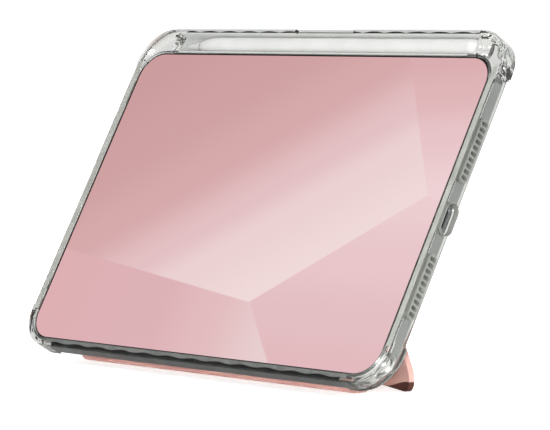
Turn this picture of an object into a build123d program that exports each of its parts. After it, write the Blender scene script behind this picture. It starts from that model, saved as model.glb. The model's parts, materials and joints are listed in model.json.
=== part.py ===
"""Small tablet computer in a clear case, with its stylus and a folding stand cover.

The tablet is drawn in its own plane: u runs along the long edge, v up the short edge and n out of
the cover glass. That plane leans back from the vertical, as the stand holds it.
+X is to the viewer's right, -Y is the front, +Z is up, and Z = 0 is the surface it stands on.
"""

import os
from math import cos, hypot, radians, sin

from build123d import *

os.makedirs("parts", exist_ok=True)

# ---------------------------------------------------------------- stance
lean = 30.35                # the tablet leans back this far from the vertical, degrees
glass_height = 66.3         # centre of the cover glass above the table
glass_forward = 4.982       # the glass centre stands this far in front of the middle of the depth

# ---------------------------------------------------------------- tablet
body_w, body_h, body_t, body_r = 195.4, 134.8, 6.3, 12.0
glass_w, glass_h, glass_t, glass_r = 193.4, 132.8, 0.7, 11.0
rim_clearance = 0.05        # glass edge to housing rim, each side
housing_wall = 1.5
floor_t = 1.0
side_n = -3.15              # middle of the housing's side, where ports and buttons sit

# ---------------------------------------------------------------- clear case
case_side = 2.4             # wall outside the tablet on three sides
case_top = 10.4             # stylus channel and wall above the tablet
lip_n = 0.8                 # the lip stands this far proud of the glass
case_back_n = -7.8
case_r = 15.0
case_back_r = 3.2
pad_proud = 0.5             # the corner bumpers stand this far out, left and right
case_w = body_w + 2 * case_side
case_h = body_h + case_side + case_top
case_v = (case_top - case_side) / 2

# ---------------------------------------------------------------- stylus
stylus_r = 4.15
stylus_v = body_h / 2 + stylus_r + 0.08
stylus_n = -3.85
stylus_left, stylus_right = -79.0, 83.3
tip_length = 9.0
cone_length = 19.5
channel_r = stylus_r + 0.15

# ---------------------------------------------------------------- stand cover
board_t = 2.2
hinge_gap = 0.15
base_half = 77.6            # half the width of the base board and its foot rail
leg_half = 30.0
leg_back = 21.1             # front face of the leg, behind the glass centre
wing_back = -8.2            # front face of the wing at its tip
wing_tip_u = 93.6
rail_front, rail_back = -21.4, -15.4

# ---------------------------------------------------------------- planes and helpers
s, c = sin(radians(lean)), cos(radians(lean))
glass = Plane(origin=(0, -glass_forward, glass_height), x_dir=(1, 0, 0), z_dir=(0, -c, s))
side = Plane(origin=glass.origin, x_dir=(0, s, c), z_dir=(1, 0, 0))
out = Axis(glass.origin, glass.z_dir)


def at(n):
    """The tablet's plane at height n above the cover glass; sketches on it are in (u, v)."""
    return glass.offset(n)


def across(u):
    """A plane across the tablet at u; sketches on it are in (v, n)."""
    return side.offset(u)


def keep(piece, name):
    """Label a finished piece and write it."""
    piece.part.label = name
    export_step(piece.part, f"parts/{name}.step")


def plate(name, places, width, height, n_top, thickness, radius=0.6):
    """One or more flat rounded plates, all of one size, in one node."""
    with BuildPart() as piece:
        with BuildSketch(at(n_top)):
            with Locations(*places):
                RectangleRounded(width, height, radius)
        extrude(amount=-thickness)
    keep(piece, name)
    return piece


# ================================================================ tablet
speaker_v = [16.9 + 2.5 * i for i in range(10)]
left_speaker_v = speaker_v[:8]
power_v, power_length = 48.0, 12.4
volume_up_v, volume_down_v, volume_length = -42.2, -51.4, 7.2
button_w = 3.0
camera_u, camera_v = -84.0, 54.0

with BuildPart() as rear_housing:
    with BuildSketch(at(0)):
        RectangleRounded(body_w, body_h, body_r)
    extrude(amount=-body_t)
    fillet(rear_housing.faces().sort_by(out)[0].edges(), 1.1)
    chamfer(rear_housing.faces().sort_by(out)[-1].edges(), 0.2)
    with BuildSketch(at(0)):
        RectangleRounded(glass_w + 2 * rim_clearance, glass_h + 2 * rim_clearance, glass_r)
    extrude(amount=-glass_t, mode=Mode.SUBTRACT)
    with BuildSketch(at(-glass_t)):
        RectangleRounded(body_w - 2 * housing_wall, body_h - 2 * housing_wall, body_r - housing_wall)
    extrude(amount=-(body_t - glass_t - floor_t), mode=Mode.SUBTRACT)
    # port and speaker holes through the right wall
    with BuildSketch(across(body_w / 2 - 2)):
        with Locations((0, side_n)):
            SlotOverall(9.0, 3.2)
        with Locations(*[(sign * v, side_n) for v in speaker_v for sign in (1, -1)]):
            Circle(0.75)
    extrude(amount=3, mode=Mode.SUBTRACT)
    # speaker and button holes through the left wall
    with BuildSketch(across(-body_w / 2 - 1)):
        with Locations(*[(sign * v, side_n) for v in left_speaker_v for sign in (1, -1)]):
            Circle(0.75)
        with Locations((power_v, side_n)):
            SlotOverall(power_length + 0.2, button_w + 0.2)
        with Locations((volume_up_v, side_n), (volume_down_v, side_n)):
            SlotOverall(volume_length + 0.2, button_w + 0.2)
    extrude(amount=3, mode=Mode.SUBTRACT)
    # camera and flash windows in the back
    with BuildSketch(at(-body_t + floor_t)):
        with Locations((camera_u, camera_v)):
            Circle(5.2)
        with Locations((camera_u + 11.5, camera_v)):
            Circle(1.6)
    extrude(amount=-floor_t, mode=Mode.SUBTRACT)
    # screw bosses on the floor
    board_screws_at = [(-86.0, 38.0), (-64.5, 46.0), (-86.0, -38.0), (-64.5, -46.0), (-64.5, 0.0)]
    with BuildSketch(at(-body_t + floor_t)):
        with Locations(*board_screws_at):
            Circle(1.7)
            Circle(0.65, mode=Mode.SUBTRACT)
    extrude(amount=0.4)
keep(rear_housing, "rear_housing")

plate("cover_glass", [(0, 0)], glass_w, glass_h, 0, glass_t, glass_r - rim_clearance)

# LCD assembly, with the black adhesive frame round it
picture_w, picture_h, picture_r = glass_w - 2.2, glass_h - 2.2, glass_r - 1.1
lcd_t, backlight_t, frame_t = 0.85, 0.8, 0.5
with BuildPart() as glass_adhesive:
    with BuildSketch(at(-glass_t)):
        RectangleRounded(body_w - 2 * housing_wall - 0.1, body_h - 2 * housing_wall - 0.1,
                         body_r - housing_wall)
        RectangleRounded(picture_w + 0.1, picture_h + 0.1, picture_r, mode=Mode.SUBTRACT)
    extrude(amount=-frame_t)
keep(glass_adhesive, "glass_adhesive")

plate("lcd_panel", [(0, 0)], picture_w, picture_h, -glass_t, lcd_t, picture_r)
plate("backlight_unit", [(-2, 0)], 171, 124, -glass_t - lcd_t, backlight_t, 4)
plate("display_shield", [(-2, 0)], 171, 124, -glass_t - lcd_t - backlight_t, 0.25, 4)

# power: two pouch cells, joined to the logic board by a flex
inner_top = -glass_t - lcd_t - backlight_t - 0.35
cell_t = 2.35
plate("battery_cell_upper", [(2.0, 31.5)], 112, 55, inner_top, cell_t, 3)
plate("battery_cell_lower", [(2.0, -31.5)], 112, 55, inner_top, cell_t, 3)
plate("battery_flex", [(-58.2, 12)], 7.6, 14, inner_top - 0.1, 0.2)
plate("charging_flex", [(13.0, 0)], 142, 4.0, inner_top - 0.2, 0.2)

# logic board, standing on the bosses, with its cans and screws
board_n = -body_t + floor_t + 0.4 + 0.8
with BuildPart() as logic_board:
    with BuildSketch(at(board_n)):
        with Locations((-75.0, 0)):
            RectangleRounded(25.5, 96, 1.5)
        with Locations(*board_screws_at):
            Circle(0.75, mode=Mode.SUBTRACT)
    extrude(amount=-0.8)
keep(logic_board, "logic_board")
plate("processor_shield", [(-75.0, 12)], 19, 21, board_n + 1.2, 1.2)
plate("memory_shield", [(-75.0, -10.5)], 19, 15, board_n + 1.0, 1.0)
plate("power_shield", [(-75.0, -31.0)], 19, 17, board_n + 1.1, 1.1)
plate("display_flex", [(-75.0, 33.5)], 12, 13, board_n + 0.5, 0.5)

with BuildPart() as board_screws:
    with BuildSketch(at(board_n)):
        with Locations(*board_screws_at):
            Circle(1.2)
    extrude(amount=0.5)
    with BuildSketch(at(board_n)):
        with Locations(*board_screws_at):
            Circle(0.6)
    extrude(amount=-1.15)
keep(board_screws, "board_screws")

# USB-C receptacle: steel shell with a tongue
shell_depth, port_face = 6.6, body_w / 2 - 0.35
with BuildPart() as usb_c_receptacle:
    with BuildSketch(across(port_face)):
        with Locations((0, side_n)):
            SlotOverall(8.9, 3.1)
    extrude(amount=-shell_depth)
    with BuildSketch(across(port_face)):
        with Locations((0, side_n)):
            SlotOverall(8.34, 2.56)
    extrude(amount=-shell_depth + 0.5, mode=Mode.SUBTRACT)
    with BuildSketch(across(port_face - 0.8)):
        with Locations((0, side_n)):
            Rectangle(6.7, 0.7)
    extrude(amount=-shell_depth + 0.9)
keep(usb_c_receptacle, "usb_c_receptacle")

# four speaker modules behind the slots
speaker_t = 2.1
for name, u, v, length in (
    ("speaker_upper_right", 89.9, 28.2, 29),
    ("speaker_lower_right", 89.9, -28.2, 29),
    ("speaker_upper_left", -92.2, 25.7, 22),
    ("speaker_lower_left", -92.2, -25.7, 22),
):
    plate(name, [(u, v)], 11.5 if u > 0 else 7.4, length, side_n + speaker_t / 2, speaker_t, 1)

plate("front_camera", [(-92.2, 0)], 6.4, 6.4, inner_top - 0.1, 2.3, 1)
plate("microphones", [(-92.6, 9.0), (-92.6, -9.0), (89.0, 8.6)], 3.4, 2.6, -4.2, 0.9, 0.4)
plate("stylus_charging_coil", [(0, 63.0)], 42, 4.6, -1.4 - 1.4, 2.3, 1)
plate("edge_magnets", [(u, v) for u in (-42, 42) for v in (63.0, -62.8)], 30, 3.2, -2.9, 2.1, 0.4)

# rear camera
camera_top = -2.9
with BuildPart() as rear_camera:
    with BuildSketch(at(camera_top)):
        with Locations((camera_u, camera_v)):
            RectangleRounded(11.0, 10.6, 1.2)
    extrude(amount=-(body_t - floor_t + camera_top))
keep(rear_camera, "rear_camera")
with BuildPart() as camera_ring:
    with BuildSketch(at(-body_t + floor_t)):
        with Locations((camera_u, camera_v)):
            Circle(5.15)
            Circle(4.3, mode=Mode.SUBTRACT)
    extrude(amount=-floor_t - 1.2)
    with BuildSketch(at(-body_t)):
        with Locations((camera_u, camera_v)):
            Circle(6.6)
            Circle(4.9, mode=Mode.SUBTRACT)
    extrude(amount=-1.2)
    chamfer(camera_ring.faces().sort_by(out)[0].outer_wire().edges(), 0.3)
keep(camera_ring, "camera_ring")
with BuildPart() as camera_lens:
    with BuildSketch(at(-body_t + floor_t)):
        with Locations((camera_u, camera_v)):
            Circle(4.25)
    extrude(amount=-floor_t - 1.0)
keep(camera_lens, "camera_lens")
with BuildPart() as camera_flash:
    with BuildSketch(at(-body_t + floor_t + 0.5)):
        with Locations((camera_u + 11.5, camera_v)):
            Circle(1.55)
    extrude(amount=-floor_t - 0.5)
keep(camera_flash, "camera_flash")

# buttons on the left edge: a cap through the wall and a flange that keeps it in
button_out = 0.45
flange_t = 0.5
flange_reach = 0.6          # the flange is longer than the opening by this much at each end
button_travel = 0.3


def button(name, v, length):
    """A side button: its cap stands out of the housing, and its flange bears on the wall."""
    with BuildPart() as piece:
        with BuildSketch(across(-body_w / 2 - button_out)):
            with Locations((v, side_n)):
                SlotOverall(length, button_w)
        extrude(amount=button_out + housing_wall + flange_t)
        with BuildSketch(across(-body_w / 2 + housing_wall)):
            with Locations((v, side_n)):
                SlotOverall(length + 2 * flange_reach, button_w)
        extrude(amount=flange_t)
        chamfer(piece.faces().sort_by(Axis.X)[0].edges(), 0.12)
    keep(piece, name)


button("power_button", power_v, power_length)
button("volume_up_button", volume_up_v, volume_length)
button("volume_down_button", volume_down_v, volume_length)

switch_face = -body_w / 2 + housing_wall + flange_t + button_travel + 0.1


def switch(name, places, length):
    """Small tactile switches that the buttons press, in one strip."""
    with BuildPart() as piece:
        with BuildSketch(across(switch_face)):
            with Locations(*[(v, side_n) for v in places]):
                RectangleRounded(length, 2.2, 0.4)
        extrude(amount=0.7)
    keep(piece, name)


switch("power_switch", [power_v], 6.0)
switch("volume_switches", [volume_up_v, volume_down_v], 4.4)

# ================================================================ clear case
pad_top, pad_bottom = 0.3, -6.9
pad_u, pad_v = 19, 18        # how far each corner bumper reaches along the two edges
channel_left, channel_right = stylus_left - 3.0, stylus_right + 1.6
bulge_half = 88
window_w, window_h, window_r = 186, 126, 8

with BuildPart() as case_bumper:
    with BuildSketch(at(lip_n)):
        with Locations((0, case_v)):
            RectangleRounded(case_w, case_h, case_r)
    extrude(amount=case_back_n - lip_n)
    fillet(case_bumper.faces().sort_by(out)[0].edges(), case_back_r)
    fillet(case_bumper.faces().sort_by(out)[-1].edges(), 0.7)
    # bulge behind the stylus channel
    with BuildSketch(across(-bulge_half)):
        with Locations((stylus_v, stylus_n)):
            Circle(case_top + body_h / 2 - stylus_v - 0.02)
        with Locations((stylus_v, stylus_n + 5)):
            Rectangle(20, 10, mode=Mode.SUBTRACT)
    extrude(amount=2 * bulge_half)
    # thicker bumpers at the four corners
    with BuildSketch(at(pad_top)):
        with Locations((0, case_v)):
            RectangleRounded(case_w + 2 * pad_proud, case_h, case_r + pad_proud)
            Rectangle(case_w - 2 * pad_u, case_h + 9, mode=Mode.SUBTRACT)
            Rectangle(case_w + 9, case_h - 2 * pad_v, mode=Mode.SUBTRACT)
    extrude(amount=pad_bottom - pad_top)
    # lip opening, pocket for the tablet and window for the back panel
    with BuildSketch(at(lip_n)):
        RectangleRounded(glass_w, glass_h, glass_r)
    extrude(amount=-lip_n, mode=Mode.SUBTRACT)
    with BuildSketch(at(0)):
        RectangleRounded(body_w + 0.1, body_h + 0.1, body_r)
    extrude(amount=-body_t - 0.05, mode=Mode.SUBTRACT)
    with BuildSketch(at(-body_t)):
        RectangleRounded(window_w, window_h, window_r)
    extrude(amount=case_back_n + body_t, mode=Mode.SUBTRACT)
    # stylus channel, open at the front, with a rounded mouth
    with BuildSketch(across(channel_left)):
        with Locations((stylus_v, stylus_n)):
            Circle(channel_r)
        with Locations((stylus_v, (stylus_n + lip_n + 1) / 2)):
            Rectangle(2 * channel_r, lip_n + 1 - stylus_n)
    extrude(amount=channel_right - channel_left, mode=Mode.SUBTRACT)
    # finger notch in the top wall, to lift the stylus
    with BuildSketch(across(-14)):
        with Locations((body_h / 2 + case_top, lip_n)):
            Rectangle(3.0, 2.2)
    extrude(amount=32, mode=Mode.SUBTRACT)
    # port cut-out and speaker slots on the right
    with BuildSketch(across(body_w / 2 - 1)):
        with Locations((0, side_n - 0.75)):
            RectangleRounded(12.6, 6.4, 2.9)
        with Locations(*[(sign * v, side_n) for v in speaker_v for sign in (1, -1)]):
            SlotOverall(3.4, 1.7, rotation=90)
    extrude(amount=6, mode=Mode.SUBTRACT)
    # speaker slots and key openings on the left
    with BuildSketch(across(-body_w / 2 - 5)):
        with Locations(*[(sign * v, side_n) for v in left_speaker_v for sign in (1, -1)]):
            SlotOverall(3.4, 1.7, rotation=90)
        with Locations((power_v, side_n)):
            SlotOverall(power_length + 1.8, 4.8)
        with Locations((volume_up_v, side_n), (volume_down_v, side_n)):
            SlotOverall(volume_length + 0.9, 4.8)
    extrude(amount=6, mode=Mode.SUBTRACT)
keep(case_bumper, "case_bumper")

case_magnet_places = [(0, 40), (0, -40), (-55, 0), (55, 0)]
with BuildPart() as case_back_panel:
    with BuildSketch(at(-body_t - 0.05)):
        RectangleRounded(window_w, window_h, window_r)
    extrude(amount=case_back_n + body_t + 0.05)
    with BuildSketch(at(case_back_n)):
        with Locations((camera_u + 4.2, camera_v)):
            RectangleRounded(27, 17.5, 7)
    extrude(amount=5, both=True, mode=Mode.SUBTRACT)
    with BuildSketch(at(-body_t - 0.05)):
        with Locations(*case_magnet_places):
            RectangleRounded(24, 10, 1)
    extrude(amount=-0.9, mode=Mode.SUBTRACT)
keep(case_back_panel, "case_back_panel")
plate("case_magnets", case_magnet_places, 24, 10, -body_t - 0.05, 0.9, 1)


def key_pad(name, v, length):
    """A soft key of the case, which presses the button under it."""
    with BuildPart() as piece:
        with BuildSketch(across(-body_w / 2 - button_out)):
            with Locations((v, side_n)):
                SlotOverall(length, 4.2)
        extrude(amount=-(case_side - button_out + 0.35))
        fillet(piece.faces().sort_by(Axis.X)[0].edges(), 0.4)
    keep(piece, name)


key_pad("power_key_pad", power_v, power_length + 1.2)
key_pad("volume_up_key_pad", volume_up_v, volume_length + 0.3)
key_pad("volume_down_key_pad", volume_down_v, volume_length + 0.3)

# ================================================================ stylus
stylus_axis = Axis(glass.from_local_coords((0, stylus_v, stylus_n)), (1, 0, 0))
stylus_wall = 0.5
cone_end = stylus_left + cone_length
seam_u = stylus_left + tip_length
seam_r = 2.2
tip_end_r = 0.6

with BuildPart() as stylus_barrel:
    with BuildSketch(at(stylus_n)):
        with BuildLine():
            shoulder = Line((seam_u + 0.5, stylus_v), (seam_u + 0.5, stylus_v + seam_r + 0.12))
            cone = Bezier(shoulder @ 1, (cone_end - 7, stylus_v + stylus_r - 0.35),
                          (cone_end, stylus_v + stylus_r))
            Line(cone @ 1, (stylus_right - stylus_r, stylus_v + stylus_r))
            CenterArc((stylus_right - stylus_r, stylus_v), stylus_r, 90, -90)
            Line((stylus_right, stylus_v), shoulder @ 0)
        make_face()
    revolve(axis=stylus_axis)
    with BuildSketch(across(seam_u + 0.5)):
        with Locations((stylus_v, stylus_n)):
            Circle(1.9)
    extrude(amount=cone_length - tip_length - 0.5, mode=Mode.SUBTRACT)
    with BuildSketch(across(cone_end)):
        with Locations((stylus_v, stylus_n)):
            Circle(stylus_r - stylus_wall)
    extrude(amount=stylus_right - stylus_r - 2 - cone_end, mode=Mode.SUBTRACT)
keep(stylus_barrel, "stylus_barrel")

with BuildPart() as stylus_tip:
    with BuildSketch(at(stylus_n)):
        with BuildLine():
            base = Line((seam_u, stylus_v), (seam_u, stylus_v + seam_r))
            slope = Line(base @ 1, (stylus_left + tip_end_r, stylus_v + tip_end_r))
            nose = CenterArc((stylus_left + tip_end_r, stylus_v), tip_end_r, 90, 90)
            Line(nose @ 1, base @ 0)
        make_face()
    revolve(axis=stylus_axis)
keep(stylus_tip, "stylus_tip")

with BuildPart() as stylus_seam_ring:
    with BuildSketch(across(seam_u)):
        with Locations((stylus_v, stylus_n)):
            Circle(seam_r - 0.05)
            Circle(1.4, mode=Mode.SUBTRACT)
    extrude(amount=0.5)
keep(stylus_seam_ring, "stylus_seam_ring")

with BuildPart() as stylus_stem:
    with BuildSketch(across(seam_u)):
        with Locations((stylus_v, stylus_n)):
            Circle(1.35)
    extrude(amount=9.5)
keep(stylus_stem, "stylus_stem")


def in_barrel(name, start, length, section):
    """A piece inside the stylus barrel; section draws its profile round the barrel's axis."""
    with BuildPart() as piece:
        with BuildSketch(across(start)):
            with Locations((stylus_v, stylus_n)):
                section()
        extrude(amount=length)
    keep(piece, name)


in_barrel("stylus_battery", cone_end + 2, 34, lambda: Circle(3.2))
in_barrel("stylus_board", cone_end + 40, 62, lambda: RectangleRounded(5.6, 0.8, 0.2))
in_barrel("stylus_coil", cone_end + 104, 26, lambda: RectangleRounded(4.4, 3.4, 0.6))

# ================================================================ stand cover
base_n = case_back_n
hinge_n = base_n - board_t - hinge_gap
base_top, base_bottom = 58.0, -66.0
hinge_v = (leg_back + hinge_n * c) / s
hinge_z = glass_height + hinge_v * c + hinge_n * s
leg_y = leg_back - glass_forward

base_magnet_places = [(0, 40), (-55, 30), (55, 30), (-55, -30), (55, -30)]
with BuildPart() as base_board:
    with BuildSketch(at(base_n)):
        with Locations((0, (base_top + base_bottom) / 2)):
            RectangleRounded(2 * base_half, base_top - base_bottom, 7)
    extrude(amount=-board_t)
    fillet(base_board.faces().sort_by(out)[0].edges(), 0.6)
    with BuildSketch(at(base_n)):
        with Locations(*base_magnet_places):
            RectangleRounded(22, 9, 1)
    extrude(amount=-1.2, mode=Mode.SUBTRACT)
keep(base_board, "base_board")
plate("base_magnets", base_magnet_places, 22, 9, base_n, 1.2, 1)

# foot rail: a padded bar under the back of the case, which stands on the table
rail_section = Plane(origin=(-base_half, 0, 0), x_dir=(0, 1, 0), z_dir=(1, 0, 0))


def on_board(v, n):
    """The (y, z) of a point of the tablet's side view."""
    return (v * s - n * c - glass_forward, v * c + n * s + glass_height)


board_back_n = base_n - board_t
rail_y0, rail_y1 = rail_front - glass_forward, rail_back - glass_forward
rail_top, rail_low = -58.9, -63.5     # where the rail is bonded to the board; the leg folds above it
with BuildPart() as foot_rail:
    with BuildSketch(rail_section):
        with BuildLine():
            Polyline((rail_y0, 0), (rail_y1, 0), (rail_y1, 6.6), on_board(rail_top, -14.8),
                     on_board(rail_top, board_back_n), on_board(rail_low, board_back_n),
                     (rail_y0, 4.6), close=True)
        make_face()
    extrude(amount=2 * base_half)
    fillet(foot_rail.edges().filter_by(Axis.Y).group_by(Axis.Z)[0], 2.6)
    fillet(foot_rail.edges().filter_by(Axis.X).group_by(Axis.Z)[0], 0.7)
keep(foot_rail, "foot_rail")

# header: the strip above the crease, fixed to the base board, clear of the leg's back edge
header_gap = 1.4
plate("leg_header", [(0, hinge_v + header_gap + 9)], 2 * leg_half + 3, 18, board_back_n, board_t, 2.5)

# leg: stands upright from the crease to the table
leg_front = Plane(origin=(0, leg_y, 0), x_dir=(1, 0, 0), z_dir=(0, -1, 0))
leg_top = hinge_z - 0.35
with BuildPart() as leg_panel:
    with BuildSketch(leg_front):
        with Locations((0, leg_top / 2)):
            Rectangle(2 * (leg_half - hinge_gap), leg_top)
    extrude(amount=-board_t)
    fillet(leg_panel.faces().sort_by(Axis.Y)[-1].edges().filter_by(Axis.X), 0.5)
keep(leg_panel, "leg_panel")

# wings: upright too, folded forward from the leg's two sides
wing_length = hypot(wing_tip_u - leg_half, leg_back - wing_back)
wing_run = ((wing_tip_u - leg_half) / wing_length, (wing_back - leg_back) / wing_length)
toe_start, toe_height = 39.0, 4.0
tip_round = 5.0
tip_cut = 3.0               # the wing's top corner ends this far out from the crease


def wing_pieces(sign, word):
    """The wing and its toe on one side; sign is 1 on the right. x runs out along the table."""
    run = Vector(sign * wing_run[0], wing_run[1], 0)
    front = Plane(origin=(sign * leg_half, leg_y, 0), x_dir=run, z_dir=run.cross(Vector(0, 0, 1)))
    top_y = leg_top * (1 - tip_cut / wing_length)
    with BuildSketch(front) as outline:
        with BuildLine():
            Polyline((hinge_gap, 0), (wing_length, 0), (tip_cut, top_y), (hinge_gap, top_y), close=True)
        make_face()
        fillet(outline.vertices().sort_by(Axis.X)[-1], tip_round)
    with BuildSketch(front) as foot_shape:
        with BuildLine():
            sole = Line((toe_start, 0), (wing_length + 4, 0))
            end = Line(sole @ 1, (wing_length + 4, toe_height))
            flat = Line(end @ 1, (toe_start + 25, toe_height))
            Bezier(flat @ 1, (toe_start + 17, toe_height), (toe_start + 9, 0.1), sole @ 0)
        make_face()
    with BuildPart() as wing:
        extrude(outline.sketch, amount=-sign * board_t)
        extrude(foot_shape.sketch, amount=2 * board_t, both=True, mode=Mode.SUBTRACT)
    keep(wing, f"wing_{word}")
    with BuildPart() as toe:
        extrude(outline.sketch, amount=-sign * board_t)
        extrude(foot_shape.sketch, amount=2 * board_t, both=True, mode=Mode.INTERSECT)
    keep(toe, f"toe_{word}")


wing_pieces(1, "right")
wing_pieces(-1, "left")

print(f"crease: v {hinge_v:.2f}, height {hinge_z:.2f}; wing {wing_length:.2f} long")
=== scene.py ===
import json
import math

import bmesh
import bpy
from mathutils import Matrix, Vector
from mathutils.geometry import tessellate_polygon


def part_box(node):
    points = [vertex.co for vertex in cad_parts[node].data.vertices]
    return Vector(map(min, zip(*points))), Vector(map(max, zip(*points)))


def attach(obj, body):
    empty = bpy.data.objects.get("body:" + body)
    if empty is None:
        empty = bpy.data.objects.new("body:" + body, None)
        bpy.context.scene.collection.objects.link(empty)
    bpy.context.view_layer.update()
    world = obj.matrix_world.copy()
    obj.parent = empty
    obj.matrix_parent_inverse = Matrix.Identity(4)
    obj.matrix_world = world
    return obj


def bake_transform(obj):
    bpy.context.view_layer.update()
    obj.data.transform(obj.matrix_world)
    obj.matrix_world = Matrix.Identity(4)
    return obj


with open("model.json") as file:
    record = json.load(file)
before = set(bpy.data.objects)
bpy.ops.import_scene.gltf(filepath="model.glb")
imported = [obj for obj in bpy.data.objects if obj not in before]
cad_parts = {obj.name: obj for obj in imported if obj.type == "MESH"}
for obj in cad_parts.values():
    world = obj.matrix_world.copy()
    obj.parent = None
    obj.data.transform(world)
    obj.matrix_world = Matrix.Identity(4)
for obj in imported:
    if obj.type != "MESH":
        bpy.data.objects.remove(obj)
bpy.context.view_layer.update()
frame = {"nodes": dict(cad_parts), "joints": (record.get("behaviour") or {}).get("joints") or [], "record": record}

nodes = frame["nodes"]
joints = {joint["name"]: joint for joint in frame["joints"]}
mm = 0.001

# the tablet's own space, in millimetres: u to the right, v up the glass, n out of the glass
glassSheet = {"thick": 0.7, "border": 0.6, "rightBorder": 1.2, "corner": 11.0}
outOfGlass = Vector(joints["stylus_lift"]["axis"]).normalized()
alongTop = Vector((1, 0, 0))
upGlass = outOfGlass.cross(alongTop)
glassLow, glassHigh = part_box("cover_glass")
glassCentre = (glassLow + glassHigh) / 2 + outOfGlass * glassSheet["thick"] * mm / 2
tiltBack = math.atan2(upGlass.z, upGlass.y)
onTablet = Matrix.Translation(glassCentre) @ Matrix.Rotation(tiltBack, 4, "X") @ Matrix.Scale(mm, 4)
inWorld = Matrix.Scale(mm, 4)
glassHalfU = (glassHigh.x - glassLow.x) / 2 / mm
glassHalfV = 66.4


# small helpers for materials

def linear(hexColour):
    parts = [int(hexColour[i:i + 2], 16) / 255 for i in (0, 2, 4)]
    return [p / 12.92 if p <= 0.04045 else ((p + 0.055) / 1.055) ** 2.4 for p in parts] + [1.0]


def connect(tree, value, socket):
    # value: a number or colour, one output of a node, or a node, which stands for its first output
    if isinstance(value, bpy.types.Node):
        value = value.outputs[0]
    if isinstance(value, bpy.types.NodeSocket):
        tree.links.new(value, socket)
    else:
        socket.default_value = value


def addNode(tree, kind, inputs=None, stops=(), interpolation="LINEAR", **settings):
    # inputs: socket name or number -> what connect takes; stops: a ramp's (position, hex colour)
    node = tree.nodes.new(kind)
    for name, value in settings.items():
        setattr(node, name, value)
    if stops:
        elements = node.color_ramp.elements
        node.color_ramp.interpolation = interpolation
        for position, colour in stops[2:]:
            elements.new(position)
        for element, (position, colour) in zip(elements, stops):
            element.position = position
            element.color = linear(colour)
    for key, value in (inputs or {}).items():
        connect(tree, value, node.inputs[key])
    return node


def newMaterial(name):
    material = bpy.data.materials.new(name)
    material.use_nodes = True
    tree = material.node_tree
    tree.nodes.clear()
    shader = addNode(tree, "ShaderNodeBsdfPrincipled")
    addNode(tree, "ShaderNodeOutputMaterial", {"Surface": shader})
    return material, tree, shader


def feed(tree, shader, **sockets):
    # sockets by name with spaces left out, such as BaseColor
    for socket in shader.inputs:
        name = socket.name.replace(" ", "")
        if name in sockets:
            connect(tree, sockets[name], socket)


def lightPasses(tree, shader, tint):
    # light on its way to what lies inside goes straight through the clear wall
    path = addNode(tree, "ShaderNodeLightPath").outputs
    inward = addNode(tree, "ShaderNodeMath", {0: path["Is Shadow Ray"], 1: path["Is Diffuse Ray"]},
                     operation="MAXIMUM")
    through = addNode(tree, "ShaderNodeBsdfTransparent", {"Color": linear(tint)})
    both = addNode(tree, "ShaderNodeMixShader", {0: inward, 1: shader, 2: through})
    output = next(node for node in tree.nodes if node.type == "OUTPUT_MATERIAL")
    connect(tree, both, output.inputs["Surface"])


def millimetres(tree):
    # the piece's own coordinates, in millimetres
    coordinates = addNode(tree, "ShaderNodeTexCoord").outputs["Object"]
    return addNode(tree, "ShaderNodeVectorMath", {0: coordinates, "Scale": 1 / mm}, operation="SCALE")


def tabletMillimetres(tree):
    # u, v and n of the tablet's own space, in millimetres
    coordinates = addNode(tree, "ShaderNodeTexCoord").outputs["Object"]
    return addNode(tree, "ShaderNodeMapping",
                   {"Vector": coordinates, "Location": glassCentre, "Rotation": (tiltBack, 0, 0),
                    "Scale": (mm, mm, mm)}, vector_type="TEXTURE")


def twoTone(colours, low=0.3, high=0.7):
    return [(low, colours[0]), (high, colours[1])]


# materials

# the bands of a wave texture of scale 1 are this far apart
waveLength = math.tau / 20


def anodisedAluminium():
    # bead blasted, then anodised grey: a fine even grit that spreads highlights into a satin sheen
    look = {"colours": ("A3A6A5", "AEB1B0"), "grit": 0.12, "depth": 0.004, "cloud": 18.0,
            "roughness": (0.32, 0.44)}
    material, tree, shader = newMaterial("anodisedAluminium")
    place = millimetres(tree)
    cloud = addNode(tree, "ShaderNodeTexNoise", {"Vector": place, "Scale": 1 / look["cloud"]})
    grit = addNode(tree, "ShaderNodeTexNoise", {"Vector": place, "Scale": 1 / look["grit"], "Detail": 1.0})
    low, high = look["roughness"]
    feed(tree, shader, Metallic=1.0,
         BaseColor=addNode(tree, "ShaderNodeValToRGB", {"Fac": cloud}, twoTone(look["colours"])),
         Roughness=addNode(tree, "ShaderNodeMapRange", {"Value": grit, "To Min": low, "To Max": high}),
         Normal=addNode(tree, "ShaderNodeBump", {"Height": grit, "Distance": look["depth"] * mm}))
    return material


def moulded(name, colours, roughness=(0.35, 0.5), texture=0.25, depth=0.006, ior=1.5, coat=0.0):
    # injection moulded plastic: an even colour with a slight flow mottle and the tool's fine spark texture
    look = {"flow": 9.0, "coatRoughness": 0.08}
    material, tree, shader = newMaterial(name)
    place = millimetres(tree)
    flow = addNode(tree, "ShaderNodeTexNoise", {"Vector": place, "Scale": 1 / look["flow"]})
    skin = addNode(tree, "ShaderNodeTexNoise", {"Vector": place, "Scale": 1 / texture})
    low, high = roughness
    feed(tree, shader, IOR=ior, CoatWeight=coat, CoatRoughness=look["coatRoughness"],
         BaseColor=addNode(tree, "ShaderNodeValToRGB", {"Fac": flow}, twoTone(colours)),
         Roughness=addNode(tree, "ShaderNodeMapRange", {"Value": skin, "To Min": low, "To Max": high}),
         Normal=addNode(tree, "ShaderNodeBump", {"Height": skin, "Distance": depth * mm}))
    return material


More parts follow.
